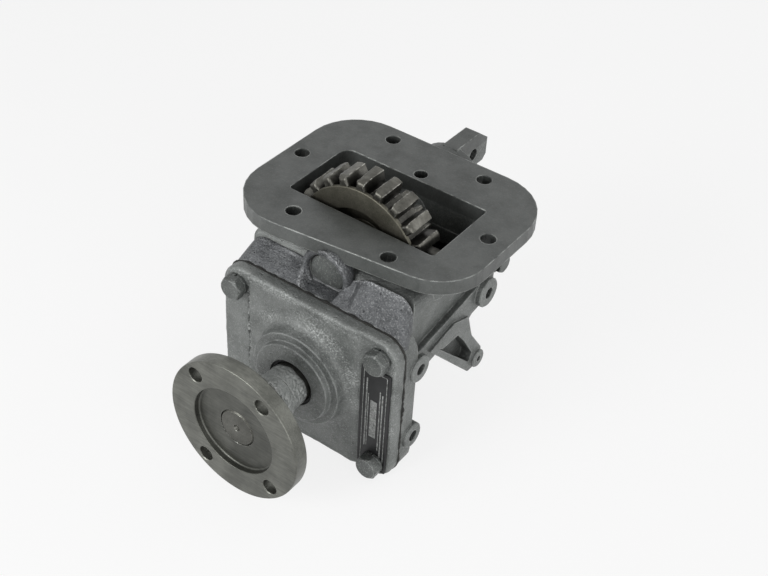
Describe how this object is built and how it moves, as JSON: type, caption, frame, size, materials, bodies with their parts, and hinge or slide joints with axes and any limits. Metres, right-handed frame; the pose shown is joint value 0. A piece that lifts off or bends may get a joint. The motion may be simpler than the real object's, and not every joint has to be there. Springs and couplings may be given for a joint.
{
  "type": "power take off unit",
  "caption": "Side-mounted gearbox power take off: cast housing with window flange, idler cluster, sliding driven gear and output shaft with companion flange.",
  "frame": {"origin": "middle of the underside of the bounding box", "axes": "+Y from the output flange towards the rear of the unit, +Z out of the mounting face, +X along it"},
  "size_m": [0.1806, 0.2794, 0.1847],
  "materials": {
    "painted_cast_iron": "grey paint on sand casting",
    "gasket_paper": "matt",
    "plate_black": "satin black",
    "seal_rubber": "matt",
    "bush_bronze": "machined",
    "washer_copper": "soft copper",
    "gear_steel": "hardened, oiled",
    "bare_steel": "turned",
    "bearing_steel": "ground",
    "bolt_steel": "dull"
  },
  "bodies": {
    "housing": {"housing": "painted_cast_iron", "front_cover": "painted_cast_iron", "cover_gasket": "gasket_paper", "cover_bolt_1": "bolt_steel", "cover_bolt_2": "bolt_steel", "cover_bolt_3": "bolt_steel", "cover_bolt_4": "bolt_steel", "spring_washer_1": "bolt_steel", "spring_washer_2": "bolt_steel", "spring_washer_3": "bolt_steel", "spring_washer_4": "bolt_steel", "data_plate": "plate_black", "shaft_seal": "seal_rubber", "front_bearing_outer": "bearing_steel", "rear_bearing_outer": "bearing_steel", "bearing_circlip": "bearing_steel", "idler_axle": "bare_steel", "axle_plug": "bare_steel", "axle_lock_bolt": "bolt_steel", "thrust_washer_front": "bush_bronze", "thrust_washer_rear": "bush_bronze", "rear_bearing_cap": "painted_cast_iron", "cap_gasket": "gasket_paper", "cap_bolt_1": "bolt_steel", "cap_bolt_2": "bolt_steel", "cap_bolt_3": "bolt_steel", "cap_bolt_4": "bolt_steel", "drain_plug": "bolt_steel", "drain_washer": "washer_copper", "rail_stop_screw": "bolt_steel"},
    "output": {"output_shaft": "bare_steel", "companion_flange": "bare_steel", "flange_key": "bare_steel", "front_bearing_inner": "bearing_steel", "rear_bearing_inner": "bearing_steel", "front_bearing_balls": "bearing_steel", "rear_bearing_balls": "bearing_steel", "shaft_circlip": "bearing_steel"},
    "idler": {"idler_gear": "gear_steel", "bush_front": "bush_bronze", "bush_rear": "bush_bronze"},
    "sliding_gear": {"driven_gear": "gear_steel"},
    "selector": {"shift_rail": "bare_steel", "shift_fork": "painted_cast_iron", "fork_lock_screw": "bolt_steel"}
  },
  "joints": [
    {"name": "output_spin", "type": "hinge", "parent": "housing", "child": "output", "pos_m": [-0.00175, 0.0237, 0.0627], "axis": [0, 1, 0], "continuous": true},
    {"name": "idler_spin", "type": "hinge", "parent": "housing", "child": "idler", "pos_m": [-0.00375, 0.0237, 0.13067], "axis": [0, 1, 0], "continuous": true},
    {"name": "selector_slide", "type": "slide", "parent": "housing", "child": "selector", "axis": [0, 1, 0], "range_m": [0, 0.016]},
    {"name": "gear_slide", "type": "slide", "parent": "output", "child": "sliding_gear", "axis": [0, 1, 0], "range_m": [0, 0.016]}
  ],
  "couplings": [
    {"joint": "idler_spin", "follows": "output_spin", "ratio": -1.125},
    {"joint": "gear_slide", "follows": "selector_slide", "ratio": 1}
  ]
}
